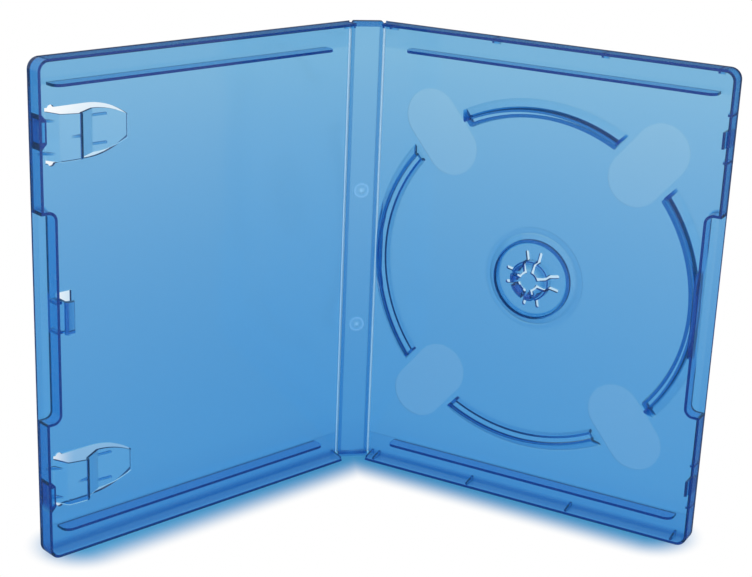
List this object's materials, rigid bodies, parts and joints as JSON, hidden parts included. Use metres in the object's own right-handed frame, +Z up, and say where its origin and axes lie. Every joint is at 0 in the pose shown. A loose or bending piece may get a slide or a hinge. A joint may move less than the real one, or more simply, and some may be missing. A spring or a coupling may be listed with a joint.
{
  "type": "game disc case",
  "caption": "Empty translucent blue plastic game disc case standing open like a book, with disc hub, disc ring, booklet clips, finger notches and living hinges along a narrow spine.",
  "frame": {"origin": "on the standing edge of the disc tray, straight below the hub axis, at the level of the tray's inner floor", "axes": "+X from the rear hinge to the tray's fore-edge, -Y out of the tray along the hub, +Z up along the hinges"},
  "size_m": [0.1852, 0.1376, 0.171],
  "materials": {
    "blue_plastic": "translucent moulded polypropylene, satin gloss"
  },
  "bodies": {
    "disc_tray": {"disc_tray": "blue_plastic"},
    "spine": {"spine": "blue_plastic", "rear_hinge_web": "blue_plastic", "front_hinge_web": "blue_plastic"},
    "front_cover": {"front_cover": "blue_plastic"}
  },
  "joints": [
    {"name": "rear_hinge", "type": "hinge", "parent": "disc_tray", "child": "spine", "pos_m": [-0.0652, 0.0005, 0], "axis": [0, 0, 1], "range_deg": [-38.74, 51.26], "deforming": ["rear_hinge_web"]},
    {"name": "front_hinge", "type": "hinge", "parent": "spine", "child": "front_cover", "pos_m": [-0.07503, -0.00738, 0], "axis": [0, 0, 1], "range_deg": [-33.25, 56.75], "deforming": ["front_hinge_web"]}
  ]
}
